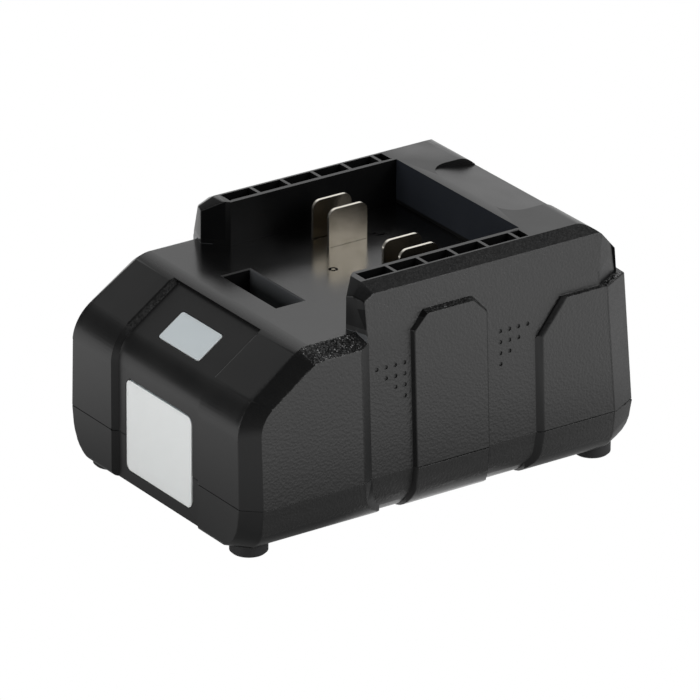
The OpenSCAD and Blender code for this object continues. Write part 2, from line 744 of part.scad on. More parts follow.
// Frame of the large window: x across, y up, z out of the panel
module window_frame() translate([0, panel_d, window_z + window_h/2]) rotate([90, 0, 0]) children();
module window_hole(c) window_frame() translate([0, 0, -6])
    round_plate(window_w + 2*c, window_h + 2*c, window_r + c, 10);
lens_proud = 0.1;
module front_window() color([0.86, 0.89, 0.88]) place() window_frame() {
    translate([0, 0, -wall]) round_plate(window_w, window_h, window_r, wall + lens_proud);
    translate([0, 0, -wall - flange_t])
        round_plate(window_w + 2*flange_w, window_h + 2*low_flange, window_r, flange_t);
}
low_flange = 1;
light_gap = 5;
light_z = -wall - flange_t;
light_back = cavity_front + flange_t + light_gap + board_t + slip;
light_post_x = window_w/2 - 6;
module light_frame() color([0.93, 0.93, 0.92]) place() window_frame()
    translate([0, 0, light_z - light_gap]) difference() {
        round_plate(window_w + 2*flange_w, window_h + 2*low_flange, window_r, light_gap);
        translate([0, 0, -1]) round_plate(window_w - 1, window_h - 1, window_r, light_gap + 2);
    }
module front_light_board() color([0.1, 0.35, 0.2]) place() window_frame()
    translate([0, 0, light_z - light_gap - board_t])
        round_plate(window_w + 2*flange_w, window_h + 2*low_flange, window_r, board_t);
module front_lights() color([0.95, 0.94, 0.8]) place() window_frame()
    for (i = [-1, 0, 1]) for (j = [-1, 1])
        translate([i*window_w/3.4, j*window_h/4.4, light_z - light_gap + 0.6])
            cube([2.8, 3.5, 1.2], center = true);

// Indicator window and its board under the slope
lamp_mid = -lamp_s - lamp_l/2;
lamp_r = 0.8;
lamp_gap = 3;
lamp_z = -panel_d - wall - flange_t;
lamp_board_top = lamp_z - lamp_gap;
lamp_post_x = lamp_w/2 + flange_w + 3.6;
small_screw = 2;
module lamp_hole(c) slope_frame() translate([0, lamp_mid, -panel_d - 6])
    round_plate(lamp_w + 2*c, lamp_l + 2*c, lamp_r + c, 12);
module indicator_window() color([0.75, 0.77, 0.79]) place() slope_frame() translate([0, lamp_mid, -panel_d]) {
    translate([0, 0, -wall]) round_plate(lamp_w, lamp_l, lamp_r, wall + lens_proud);
    translate([0, 0, -wall - flange_t])
        round_plate(lamp_w + 2*flange_w, lamp_l + 2*flange_w, lamp_r, flange_t);
}
module indicator_frame() color([0.93, 0.93, 0.92]) place() slope_frame()
    translate([0, lamp_mid, lamp_board_top]) difference() {
        round_plate(lamp_w + 2*flange_w, lamp_l + 2*flange_w, lamp_r, lamp_gap);
        for (sx = [-1, 1]) translate([sx*lamp_w/4, 0, -1])
            round_plate(lamp_w/2 - 1, lamp_l - 1, lamp_r, lamp_gap + 2);
    }
module indicator_board() color([0.1, 0.35, 0.2]) place() slope_frame()
    translate([0, lamp_mid, lamp_board_top - board_t]) difference() {
        round_plate(2*lamp_post_x + 5, lamp_l + 2*flange_w, 1.5, board_t);
        both() translate([lamp_post_x, 0, -1]) cylinder(d = small_screw + slip, h = board_t + 2);
    }
module indicator_lights() color([0.8, 0.2, 0.15]) place() slope_frame()
    both() translate([lamp_w/4, lamp_mid, lamp_board_top + 0.5]) cube([3.2, 1.6, 1], center = true);
module indicator_screws() color([0.6, 0.6, 0.6]) place() slope_frame()
    both() translate([lamp_post_x, lamp_mid, lamp_board_top - board_t])
        screw(small_screw, 3.6, 1.2, board_t + 2.4);

// ---------- contacts ----------

blade_xs = [-blade_x2, -blade_x1, blade_x1, blade_x2];
blade_mid = blade_y + blade_l/2;
holder_z = ceiling - holder_h;
tab_z = holder_z - 5;
module blade(x) color([0.72, 0.7, 0.64]) place() translate([x - blade_t/2, 0, 0]) across(0, blade_t) {
    r = blade_r;
    top = deck_z + blade_h;
    translate([blade_y, holder_z]) square([blade_l, top - r - holder_z]);
    translate([blade_y + r, holder_z]) square([blade_l - 2*r, top - holder_z]);
    translate([blade_y + r, top - r]) circle(r);
    translate([blade_y + blade_l - r, top - r]) circle(r);
    translate([blade_mid - 2, tab_z]) square([4, holder_z - tab_z + eps]);
}
module contact_blade_1() blade(blade_xs[0]);
module contact_blade_2() blade(blade_xs[1]);
module contact_blade_3() blade(blade_xs[2]);
module contact_blade_4() blade(blade_xs[3]);

holder_w = 2*blade_x2 + 7;
holder_ear_x = holder_w/2 + 3;
ear_boss_h = 3;
ear_t = 2.4;
ear_z = ceiling - ear_boss_h;
module contact_holder() color([0.2, 0.2, 0.22]) place() difference() {
    union() {
        block([-holder_w/2, blade_y - 2.4, holder_z],
            [holder_w/2, blade_y + blade_l + 2.4, ceiling]);
        block([-holder_ear_x - 3, blade_mid - 3.5, ear_z - ear_t],
            [holder_ear_x + 3, blade_mid + 3.5, ear_z]);
    }
    for (x = blade_xs) block([x - blade_t/2 - slip/2, blade_y - slip/2, holder_z - 1],
        [x + blade_t/2 + slip/2, blade_y + blade_l + slip/2, ceiling + 1]);
    both() translate([holder_ear_x, blade_mid, ear_z - ear_t - 1])
        cylinder(d = small_screw + slip, h = ear_t + 2);
}
module holder_screws() color([0.6, 0.6, 0.6]) place() both()
    translate([holder_ear_x, blade_mid, ear_z - ear_t]) screw(small_screw, 3.8, 1.2, ear_t + 3);

// A screw with its head below the origin and its shank rising from it
module screw(d, hd, hh, l) {
    translate([0, 0, -hh]) difference() {
        cylinder(d = hd, h = hh);
        translate([0, 0, -1]) cylinder(d = d*0.9, h = 1 + hh*0.5, $fn = 6);
    }
    translate([0, 0, -eps]) cylinder(d = d, h = l + eps);
}

// A round lead through a list of corners, each stretch along one axis
module lead(pts, d) {
    for (i = [0:len(pts) - 2]) {
        v = pts[i + 1] - pts[i];
        translate(pts[i]) rotate([0, acos(v[2]/norm(v)), atan2(v[1], v[0])])
            cylinder(d = d, h = norm(v), $fn = 20);
    }
    for (i = [1:len(pts) - 2]) translate(pts[i]) sphere(d = d, $fn = 20);
}
lead_z = tab_z - 3;
lead_y = board_y0 + 5;
module blade_leads() color([0.75, 0.1, 0.1]) place() for (x = blade_xs)
    lead([[x, blade_mid, tab_z], [x, blade_mid, lead_z],
        [x, lead_y, lead_z], [x, lead_y, board_top]], lead_d);

// ---------- main board and what stands on it ----------

// Place of the mains inlet, which the parts on the board keep clear of
inlet_z = seam_z + inlet_c;
inlet_wall = 1.8;
inlet_out_w = inlet_w + 2*inlet_wall;
inlet_out_h = inlet_h + 2*inlet_wall;
inlet_face = body_l - inlet_c*tan(rear_draft) - 1.2;
inlet_back = inlet_face - inlet_d - 2.5;

module main_board() color([0.1, 0.35, 0.2]) place() difference() {
    block([-board_x, board_y0, board_top - board_t], [board_x, board_y1, board_top]);
    both() for (p = post_points) translate([p[0], p[1], 0]) cylinder(d = post_d + 2, h = far);
    both() for (p = post_points) block([p[0], p[1] - post_d/2 - 1, 0], [far, p[1] + post_d/2 + 1, far]);
    both() for (p = board_posts) translate([p[0], p[1], 0]) cylinder(d = small_screw + slip, h = far);
}
module board_screws() color([0.6, 0.6, 0.6]) place() both() for (p = board_posts)
    translate([p[0], p[1], board_top]) mirror([0, 0, 1]) screw(small_screw, 4, 1.4, board_t + 3.4);

// Rows of parts, from the inlet forwards: each is placed against the row behind it
inlet_lead_x = pin_pitch/2;
bulk_x = inlet_lead_x + lead_d/2 + part_gap/2 + bulk_d/2;
bulk_y = inlet_back - part_gap - bulk_d/2;
choke_x = -(inlet_lead_x + lead_d/2 + part_gap/2 + choke_d/2);
choke_y = inlet_back - part_gap - choke_d/2;
line_y = choke_y - choke_d/2 - part_gap - line_l/2;
trafo_x = -3;
trafo_y = line_y - line_l/2 - 2*part_gap - core_l/2;
output_y = trafo_y - core_l/2 - part_gap - out_d/2;
side_y = body_l - post_y2 - post_d/2 - 2*part_gap - max(fuse_l, bridge_l)/2;
sink_x = board_x - 3;
module on_board(x, y) translate([x, y, board_top]) children();
// A block standing on the board, centred on its place
module stand(w, l, h) translate([-w/2, -l/2, 0]) cube([w, l, h]);

trafo_base = 2;
module transformer_core() color([0.2, 0.2, 0.2]) place() on_board(trafo_x, trafo_y)
    translate([0, 0, trafo_base]) difference() {
        stand(core_w, core_l, core_h);
        for (s = [-1, 1]) translate([0, s*window_c, limb_t/2])
            stand(core_w + 2, window_l, core_h - limb_t);
    }
window_l = (core_l - 3*limb_t)/2;
window_c = (limb_t + window_l)/2;
winding_x = core_w/2 + window_l - 0.6;
module transformer_winding() color([0.75, 0.5, 0.15]) place() on_board(trafo_x, trafo_y) difference() {
    translate([0, 0, trafo_base + limb_t/2 + slip])
        stand(2*winding_x, limb_t + 2*window_l - 2*slip, core_h - limb_t - 2*slip);
    stand(core_w + 2*slip, limb_t + 2*slip, far);
}
module bulk_capacitor() color([0.12, 0.12, 0.3]) place() on_board(bulk_x, bulk_y) can(bulk_d, bulk_l);
module can(d, h) {
    cylinder(d = d, h = h - 1);
    translate([0, 0, h - 1 - eps]) cylinder(d = d - 1.6, h = 1 + eps);
}
module output_capacitors() color([0.15, 0.15, 0.2]) place() for (s = [-1, 1])
    on_board(s*(out_d + part_gap)/2, output_y) can(out_d, out_h);
module mains_choke() color([0.6, 0.35, 0.1]) place() on_board(choke_x, choke_y) difference() {
    cylinder(d = choke_d, h = choke_h);
    translate([0, 0, -1]) cylinder(d = choke_bore, h = choke_h + 2);
}
module line_capacitor() color([0.75, 0.7, 0.3]) place() on_board(-line_w/2, line_y)
    stand(line_w, line_l, line_h);
module bridge_rectifier() color([0.15, 0.15, 0.15]) place()
    on_board(board_x - bridge_w - 2*part_gap, side_y) stand(bridge_w, bridge_l, bridge_h);
fuse_cap_l = 4;
module fuse() color([0.85, 0.85, 0.85]) place() on_board(-board_x + fuse_d, side_y - fuse_l/2)
    translate([0, 0, fuse_d/2]) rotate([-90, 0, 0]) {
        cylinder(d = fuse_d, h = fuse_cap_l);
        cylinder(d = fuse_d - 0.6, h = fuse_l);
        translate([0, 0, fuse_l - fuse_cap_l]) cylinder(d = fuse_d, h = fuse_cap_l);
    }
fin_l = 2.6;
fin_t = 1.2;
fin_n = 5;
module sink() {
    stand(sink_t, sink_l, sink_h);
    for (i = [0:fin_n - 1]) translate([(sink_t + fin_l)/2 - eps, (i - (fin_n - 1)/2)*sink_l/fin_n, 0])
        stand(fin_l, fin_t, sink_h);
}
module switch_heat_sink() color([0.8, 0.8, 0.82]) place() on_board(-sink_x, trafo_y)
    mirror([1, 0, 0]) sink();
module diode_heat_sink() color([0.8, 0.8, 0.82]) place() on_board(sink_x, trafo_y) sink();
// A part bolted flat to a heat sink, standing on three legs: width, length and height of its case
case_size = [4.4, 10, 9];
case_leg = 5;
case_tab = [1.4, 10, 6];
leg_t = 0.8;
leg_pitch = 2.5;
module to_case() {
    translate([0, 0, case_leg]) stand(case_size[0], case_size[1], case_size[2]);
    translate([(case_size[0] - case_tab[0])/2, 0, case_leg + case_size[2] - eps])
        stand(case_tab[0], case_tab[1], case_tab[2]);
    for (i = [-1:1]) translate([0, i*leg_pitch, 0]) stand(leg_t, leg_t, case_leg + eps);
}
case_x = sink_x - (sink_t + case_size[0])/2;
module power_switch() color([0.1, 0.1, 0.1]) place() on_board(-case_x, trafo_y)
    mirror([1, 0, 0]) to_case();
module output_diode() color([0.1, 0.1, 0.1]) place() on_board(case_x, trafo_y) to_case();
chip_pitch = 1.27;
chip_x = 20;
module control_chip() color([0.08, 0.08, 0.08]) place() on_board(-chip_x, output_y) {
    translate([0, 0, 0.2]) stand(chip_w, chip_l, 1.6);
    for (i = [-3:3]) translate([0, i*chip_pitch, 0]) stand(chip_w + 2.4, 0.5, 0.5);
}
module optocoupler() color([0.9, 0.9, 0.88]) place() on_board(chip_x, output_y) {
    translate([0, 0, 0.6]) stand(opto_w, opto_l, 3.4);
    for (i = [-1, 1]) translate([0, i*chip_pitch, 0]) stand(opto_w + 2, 0.6, 0.9);
}

// ---------- mains inlet ----------

module figure_eight(w, h, t) linear_extrude(t) {
    for (s = [-1, 1]) translate([s*(w - h)/2, 0]) circle(d = h);
    square([w - h, h*0.86], center = true);
}
module inlet_frame(y) translate([0, y, inlet_z]) rotate([90, 0, 0]) children();
module inlet_hole(c) inlet_frame(body_l + 2)
    figure_eight(inlet_out_w + 2*c, inlet_out_h + 2*c, 14);
flange_y = rear_in - wall - (inlet_z + inlet_out_h/2 + 2 - seam_z)*tan(rear_draft) - 0.6;
module mains_inlet() color([0.1, 0.1, 0.1]) place() difference() {
    union() {
        inlet_frame(inlet_face) figure_eight(inlet_out_w, inlet_out_h, inlet_face - inlet_back);
        inlet_frame(flange_y) figure_eight(inlet_out_w + 3, inlet_out_h + 3, 2);
    }
    inlet_frame(inlet_face + 1) figure_eight(inlet_w, inlet_h, inlet_d + 1);
    for (s = [-1, 1]) inlet_frame(far) translate([s*pin_pitch/2, 0, 0])
        cylinder(d = pin_d + slip, h = far);
}
// How far the pins stand out behind the inlet, and where their leads turn down
pin_tail = 3;
inlet_bend_y = inlet_back - pin_tail - 2.5;
module inlet_pins() color([0.8, 0.7, 0.4]) place() for (s = [-1, 1])
    translate([s*pin_pitch/2, inlet_back - pin_tail, inlet_z]) rotate([-90, 0, 0])
        cylinder(d = pin_d, h = inlet_d + 2);
module inlet_leads() color([0.3, 0.2, 0.1]) place() for (s = [-1, 1])
    lead([[s*pin_pitch/2, inlet_back - pin_tail, inlet_z], [s*pin_pitch/2, inlet_bend_y, inlet_z],
        [s*pin_pitch/2, inlet_bend_y, board_top]], lead_d);

// ---------- housing screws and feet ----------

module housing_screws() color([0.5, 0.5, 0.5]) place() both() for (p = post_points)
    translate([p[0], p[1], screw_head_z]) screw(screw_d, head_d, head_h, screw_l - 1);

foot_points = [[foot_x, foot_front], [-foot_x, foot_front],
    [foot_x, body_l - foot_rear], [-foot_x, body_l - foot_rear]];
module foot(p) color([0.08, 0.08, 0.08]) place() translate([p[0], p[1], 0]) {
    cylinder(d1 = foot_d - 1, d2 = foot_d, h = 0.5);
    translate([0, 0, 0.5 - eps]) cylinder(d = foot_d, h = under_z + foot_seat - 0.5 + eps);
}
module foot_front_right() foot(foot_points[0]);
module foot_front_left() foot(foot_points[1]);
module foot_rear_right() foot(foot_points[2]);
module foot_rear_left() foot(foot_points[3]);

upper_shell();
lower_shell();
front_window();
indicator_window();
light_frame();
front_light_board();
front_lights();
indicator_frame();
indicator_board();
indicator_lights();
indicator_screws();
contact_blade_1();
contact_blade_2();
contact_blade_3();
contact_blade_4();
contact_holder();
holder_screws();
blade_leads();
main_board();
board_screws();
transformer_core();
transformer_winding();
bulk_capacitor();
output_capacitors();
mains_choke();
line_capacitor();
bridge_rectifier();
fuse();
switch_heat_sink();
power_switch();
diode_heat_sink();
output_diode();
control_chip();
optocoupler();
mains_inlet();
inlet_pins();
inlet_leads();
housing_screws();
foot_front_right();
foot_front_left();
foot_rear_right();
foot_rear_left();
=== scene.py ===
"""Power tool battery charger: materials, soft edges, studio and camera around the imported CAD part."""

import json
import math
from types import SimpleNamespace

import bmesh
import bpy
from mathutils import Matrix, Vector


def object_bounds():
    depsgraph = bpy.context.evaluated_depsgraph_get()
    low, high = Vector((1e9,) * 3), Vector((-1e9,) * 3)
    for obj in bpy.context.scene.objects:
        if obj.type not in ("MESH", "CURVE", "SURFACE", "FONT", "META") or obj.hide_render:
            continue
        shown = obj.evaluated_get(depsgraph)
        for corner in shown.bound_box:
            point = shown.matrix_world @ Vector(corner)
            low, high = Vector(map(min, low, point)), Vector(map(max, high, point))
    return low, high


MM = 0.001

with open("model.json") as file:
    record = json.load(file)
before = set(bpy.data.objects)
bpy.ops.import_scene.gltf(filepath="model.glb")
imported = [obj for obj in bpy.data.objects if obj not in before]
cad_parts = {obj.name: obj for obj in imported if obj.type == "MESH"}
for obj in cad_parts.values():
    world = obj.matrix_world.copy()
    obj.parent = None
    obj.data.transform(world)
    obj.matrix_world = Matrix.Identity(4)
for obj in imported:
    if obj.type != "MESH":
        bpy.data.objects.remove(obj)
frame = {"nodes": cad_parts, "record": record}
nodes = frame["nodes"]
cad_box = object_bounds()
record = frame["record"]
slot_of = {part["node"]: part["material_slot"] for part in record["subparts"]}
opening_box = {opening["name"]: opening["box_m"] for opening in record["physics"]["openings"]}
mount_place = {mount["name"]: mount["pos_m"] for mount in record["mounts"]}


# ---------- camera at the photograph's view ----------

VIEW_AZIMUTH = math.radians(55.15)
VIEW_ELEVATION = math.radians(24.0)
VIEW_ROLL = math.radians(0.44)
VIEW_DISTANCE = 1962.13 * MM
VIEW_FOCAL_PX = 7759.93
VIEW_AIM = Vector((0.0, -0.88, 30.06)) * MM
FRAME_PX = 700
SENSOR_MM = 36.0


def add_camera():
    back = Vector((math.sin(VIEW_AZIMUTH) * math.cos(VIEW_ELEVATION),
                   -math.cos(VIEW_AZIMUTH) * math.cos(VIEW_ELEVATION),
                   math.sin(VIEW_ELEVATION)))
    level = Vector((math.cos(VIEW_AZIMUTH), math.sin(VIEW_AZIMUTH), 0.0))
    upright = back.cross(level)
    right = level * math.cos(VIEW_ROLL) + upright * math.sin(VIEW_ROLL)
    up = back.cross(right)
    data = bpy.data.cameras.new("camera")
    data.sensor_width = SENSOR_MM
    data.lens = VIEW_FOCAL_PX / FRAME_PX * SENSOR_MM
    data.clip_end = 20.0
    camera = bpy.data.objects.new("camera", data)
    turn = Matrix((right, up, back)).transposed().to_4x4()
    camera.matrix_world = Matrix.Translation(VIEW_AIM + back * VIEW_DISTANCE) @ turn
    bpy.context.scene.collection.objects.link(camera)
    bpy.context.scene.camera = camera


# ---------- shader building blocks ----------

# The mix node has its inputs and output once for each type; these are the colour ones
COLOR_A, COLOR_B, COLOR_MIXED = 6, 7, 2


class Nodes:
    """Short calls that add nodes to a tree. An input is a plain value or another node's output."""

    def __init__(self, tree):
        self.tree = tree

    def give(self, socket, value):
        if isinstance(value, bpy.types.NodeSocket):
            self.tree.links.new(value, socket)
        else:
            socket.default_value = value

    def node(self, kind, settings=(), inputs=()):
        node = self.tree.nodes.new(kind)
        for key, value in dict(settings).items():
            setattr(node, key, value)
        for key, value in dict(inputs).items():
            self.give(node.inputs[key], value)
        return node

    def math(self, operation, a, b=0.0, clamp=False):
        settings = {"operation": operation, "use_clamp": clamp}
        return self.node("ShaderNodeMath", settings, {0: a, 1: b}).outputs[0]

    def vector(self, operation, a, b=(0.0, 0.0, 0.0), output="Vector"):
        node = self.node("ShaderNodeVectorMath", {"operation": operation}, {0: a, 1: b})
        return node.outputs[output]

    def ramp(self, value, low, high, to_low=0.0, to_high=1.0):
        """Maps low..high to to_low..to_high, smooth at both ends."""
        node = self.node("ShaderNodeMapRange", {"interpolation_type": "SMOOTHSTEP"}, {
            "Value": value, "From Min": low, "From Max": high, "To Min": to_low, "To Max": to_high})
        return node.outputs["Result"]


class Shader(Nodes):
    """A material with its Principled shader, and the textures and masks that feed it."""

    def __init__(self, name, metallic=0.0):
        self.material = bpy.data.materials.new(name)
        self.material.use_nodes = True
        super().__init__(self.material.node_tree)
        self.bsdf = self.tree.nodes["Principled BSDF"]
        self.feed("Metallic", metallic)
        self.place = self.node("ShaderNodeTexCoord").outputs["Object"]

    def feed(self, name, value):
        self.give(self.bsdf.inputs[name], value)

    def noise(self, size, detail=2.0, roughness=0.5, place=None):
        """Noise whose lumps are about size metres across."""
        node = self.node("ShaderNodeTexNoise", {}, {
            "Vector": place or self.place, "Scale": 1.0 / size, "Detail": detail, "Roughness": roughness})
        return node.outputs["Fac"]

    def cells(self, size, feature="F1"):
        """The distance within cells that are about size metres across."""
        node = self.node("ShaderNodeTexVoronoi", {"feature": feature}, {
            "Vector": self.place, "Scale": 1.0 / size})
        return node.outputs["Distance"]

    def stretched(self, factors):
        """The object's coordinates, scaled by a factor along each axis."""
        node = self.node("ShaderNodeMapping", {}, {"Vector": self.place, "Scale": factors})
        return node.outputs["Vector"]

    def absolute(self, value):
        return self.math("ABSOLUTE", value)

    def above(self, value, limit):
        return self.math("GREATER_THAN", value, limit)

    def below(self, value, limit):
        return self.math("LESS_THAN", value, limit)

    def all_of(self, first, *others):
        """Where all of the masks hold: their product."""
        for other in others:
            first = self.math("MULTIPLY", first, other)
        return first

    def either(self, a, b):
        return self.math("MAXIMUM", a, b)

    def without(self, mask, part):
        """A mask with another one taken out of it."""
        return self.math("SUBTRACT", mask, part, clamp=True)

    def blend(self, mask, off, on):
        """A value that is off where the mask is 0 and on where it is 1, smooth at both ends."""
        return self.ramp(mask, 0.0, 1.0, off, on)

    def mix_color(self, factor, a, b):
        a, b = (c if isinstance(c, bpy.types.NodeSocket) else (*c, 1.0) for c in (a, b))
        node = self.node("ShaderNodeMix", {"data_type": "RGBA"}, {"Factor": factor, COLOR_A: a, COLOR_B: b})
        return node.outputs[COLOR_MIXED]

    def facets(self, size, tilt, normal):
        """The normal turned a random way by up to tilt in each grain of size metres."""
        grain = self.node("ShaderNodeTexVoronoi", {}, {"Vector": self.place, "Scale": 1.0 / size})
        centred = self.vector("SUBTRACT", grain.outputs["Color"], (0.5, 0.5, 0.5))
        turned = self.node("ShaderNodeVectorMath", {"operation": "MULTIPLY_ADD"},
                           {0: centred, 1: tilt, 2: normal})
        return self.vector("NORMALIZE", turned.outputs[0])

    def bump(self, height, depth, strength=1.0, normal=None):
        """A bump of depth metres, laid over another bump when normal is given."""
        inputs = {"Height": height, "Distance": depth, "Strength": strength}
        if normal:
            inputs["Normal"] = normal
        return self.node("ShaderNodeBump", {}, inputs).outputs["Normal"]

    def soft_edges(self, radius):
        """A normal that rounds the edges left sharp in the mesh."""
        return self.node("ShaderNodeBevel", {"samples": 4}, {"Radius": radius}).outputs["Normal"]

    def split(self, vector):
        node = self.node("ShaderNodeSeparateXYZ", {}, {0: vector})
        return node.outputs["X"], node.outputs["Y"], node.outputs["Z"]

    def facing(self):
        """The surface's own direction, before any bump."""
        return self.split(self.node("ShaderNodeNewGeometry").outputs["True Normal"])


# ---------- materials ----------

# Colours
HOUSING_BLACK = (0.0040, 0.0041, 0.0043)
HOUSING_GREY = (0.0070, 0.0070, 0.0068)
# Painted light: the wall behind the bay is lighter and bluer than the black plastic
REAR_WALL_PAINTED_LIGHT = (0.020, 0.023, 0.029)
# Painted light: the forward wall of the latch pocket is paler than the black plastic
POCKET_PAINTED_LIGHT = (0.075, 0.079, 0.083)
WINDOW_MILKY = ((0.93, 0.97, 0.96), (0.95, 0.98, 0.97))
WINDOW_ON_SLOPE = (0.71, 0.775, 0.80)
# Contact blades: flat faces darkened as painted shade, narrow edges lightened as painted highlight
BLADE_FACE_SHADED = ((0.36, 0.325, 0.265), (0.29, 0.26, 0.205))
BLADE_EDGE_HIGHLIGHT = (0.86, 0.82, 0.73)

# Limits that tell one part of the housing from another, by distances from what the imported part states
DECK = mount_place["battery_bay"][2]
ABOVE_DECK = DECK + 0.9 * MM
IN_POCKET = DECK + 0.1 * MM
ON_RAIL = DECK + 1.4 * MM
RAIL_CHAMFER = cad_box[1][2] - 5.5 * MM
BAY_HALF = opening_box["bay_front"][1][0] + 0.3 * MM
RAIL_HALF = BAY_HALF + 1.0 * MM
POCKET_FRONT, POCKET_BACK = (corner[1] for corner in opening_box["latch_pocket"])
POCKET_Y = (POCKET_FRONT + POCKET_BACK) / 2
POCKET_REACH = 5.0 * MM
BAY_FRONT = POCKET_FRONT - 2.6 * MM
OUTSIDE = (cad_box[1][0] - 7.5 * MM, cad_box[1][0] - 6.0 * MM)
# Heights: where the loss of shine low on the sides begins, just over the seam, and where it fades
SEAM = (11.0 * MM, 14.0 * MM)
LOW_SIDE = (12.0 * MM, 30.0 * MM)

# Parts of a face's unit normal: where a mask starts, and where it is full
SIDEWAYS = (0.90, 0.96)
SLANTED = (0.30, 0.42)
STRIP_LEAN = (0.12, 0.20)
WALL = (0.5, 0.7)
FORWARD = (-0.2, -0.4)
RAIL_TIP_FORWARD = (-0.3, -0.5)
POCKET_FORWARD = (-0.6, -0.8)
BAY_WALL_FORWARD = (-0.7, -0.9)
REARWARD = (0.04, 0.12)
WELL_REARWARD = (0.12, 0.40)
GRIT_UPWARD = (0.15, 0.6)
SLOPE_UPWARD = (0.2, 0.35)
LEDGE_UPWARD = (0.25, 0.5)
SPARKLE_UPWARD = (0.4, 0.6)
LEVEL = (0.90, 0.97)

# Grains of the edge strips: how far they turn on upright and on upward faces, the share left on calm ones
GRIT_TILT = (0.05, 0.9)
CALM_GRIT = 0.16
FACET = 0.30 * MM

# Grain of the sides and of the whole housing, and the radius drawn on the edges left sharp
LEATHER_CELL = 0.75 * MM
LEATHER_LUMP = 0.5 * MM
LEATHER_DEPTH = 0.08 * MM
FINE_GRAIN = 0.16 * MM
FINE_DEPTH = 0.004 * MM
DRAWN_RADIUS = 0.25 * MM

# Patches of the plastic: their size, how grey they get and how much painted light greys the sides, and the
# roughness they range over
PATCH = 9 * MM
PATCH_GREY = 0.35
SIDE_PAINTED_LIGHT = 0.8
SATIN = (0.28, 0.33)
SIDE_ROUGHER = 0.06
DECK_GLOSSIER = 0.11

# Specular level, and what comes off it
SHINE = 0.5
SHINE_IN_BAY = 0.08
STRIP_LOSS = 0.14
RAIL_TIP_LOSS = 0.26
REARWARD_LOSS = (0.20, 0.34)
LOW_SIDE_LOSS = 0.08


def housing_faces(s):
    """Masks for the parts of the housing, from where a face is and which way it points."""
    nx, ny, nz = s.facing()
    x, y, z = s.split(s.place)
    across = s.absolute(nx)
    from_middle = s.absolute(x)
    outer = s.ramp(from_middle, *OUTSIDE)
    sideways = s.ramp(across, *SIDEWAYS)
    in_bay = s.all_of(s.math("SUBTRACT", 1.0, outer), s.above(y, BAY_FRONT))
    rail_chamfer = s.above(z, RAIL_CHAMFER)
    calm = s.either(rail_chamfer, s.ramp(ny, *FORWARD))

    slanted = s.without(s.ramp(across, *SLANTED), sideways)
    sloping = s.all_of(s.ramp(ny, *FORWARD), s.ramp(nz, *SLOPE_UPWARD))
    slope_strip = s.all_of(sloping, s.ramp(across, *STRIP_LEAN))
    ledge = s.all_of(outer, s.ramp(nz, *LEDGE_UPWARD))
    faces_inward = s.all_of(in_bay, s.below(s.math("MULTIPLY", x, nx), 0.0))
    strip = s.without(s.either(s.either(slanted, slope_strip), ledge), faces_inward)

    side = s.all_of(sideways, outer)
    sparkling = s.all_of(s.ramp(nz, *SPARKLE_UPWARD), s.blend(calm, 1.0, 0.0))
    above_deck = s.above(z, ABOVE_DECK)
    near_pocket = s.below(s.absolute(s.math("SUBTRACT", y, POCKET_Y)), POCKET_REACH)
    on_rail = s.all_of(s.above(from_middle, RAIL_HALF), s.above(z, ON_RAIL))
    return SimpleNamespace(
        outer=outer,
        side=side,
        strip=strip,
        calm=calm,
        upward=nz,
        deck=s.all_of(s.ramp(nz, *LEVEL), s.below(z, ABOVE_DECK)),
        bay_wall=s.all_of(in_bay, s.ramp(across, *WALL)),
        # The wall behind the bay, which gets painted light in its tone
        rear_wall=s.all_of(s.below(from_middle, BAY_HALF), s.ramp(ny, *BAY_WALL_FORWARD), above_deck),
        # The forward wall in the latch pocket, which gets painted light in its tone
        pocket_wall=s.all_of(near_pocket, s.below(z, IN_POCKET), s.ramp(ny, *POCKET_FORWARD)),
        rearward=s.all_of(outer, s.ramp(ny, *REARWARD), s.ramp(across, *WALL)),
        rearward_loss=s.ramp(ny, *WELL_REARWARD, *REARWARD_LOSS),
        plain_strip=s.without(strip, s.either(sparkling, rail_chamfer)),
        rail_tip=s.all_of(on_rail, s.ramp(ny, *RAIL_TIP_FORWARD)),
        low_side_loss=s.all_of(side, s.ramp(z, *LOW_SIDE, LOW_SIDE_LOSS, 0.0), s.ramp(z, *SEAM)),
    )


def housing_normal(s, faces):
    """Leather grain on the sides, and grains that each turn their own way on the edge strips."""
    leather = s.math("ADD", s.cells(LEATHER_CELL), s.noise(LEATHER_LUMP, 3.0, 0.6))
    rounded = s.soft_edges(s.math("MULTIPLY", faces.outer, DRAWN_RADIUS))
    leathery = s.bump(leather, LEATHER_DEPTH, faces.side, rounded)
    smooth = s.bump(s.noise(FINE_GRAIN), FINE_DEPTH, 0.6, leathery)
    lean = s.ramp(faces.upward, *GRIT_UPWARD, *GRIT_TILT)
    tilt = s.all_of(faces.strip, lean, s.blend(faces.calm, 1.0, CALM_GRIT))
    return s.facets(FACET, tilt, smooth)


def housing_tone(s, faces, patches):
    """Black with greyer patches; painted light makes the sides greyer, the wall behind the bay bluer and
    lighter, and the one in the pocket paler.
    """
    tone = s.mix_color(s.ramp(patches, 0.3, 0.7, 0.0, PATCH_GREY), HOUSING_BLACK, HOUSING_GREY)
    # Painted light on the sides: they are greyed for how the light falls on them
    tone = s.mix_color(s.math("MULTIPLY", faces.side, SIDE_PAINTED_LIGHT), tone, HOUSING_GREY)
    # Painted light: the wall behind the bay is made lighter and bluer
    tone = s.mix_color(faces.rear_wall, tone, REAR_WALL_PAINTED_LIGHT)
    # Painted light: the forward wall of the pocket is made paler
    return s.mix_color(faces.pocket_wall, tone, POCKET_PAINTED_LIGHT)


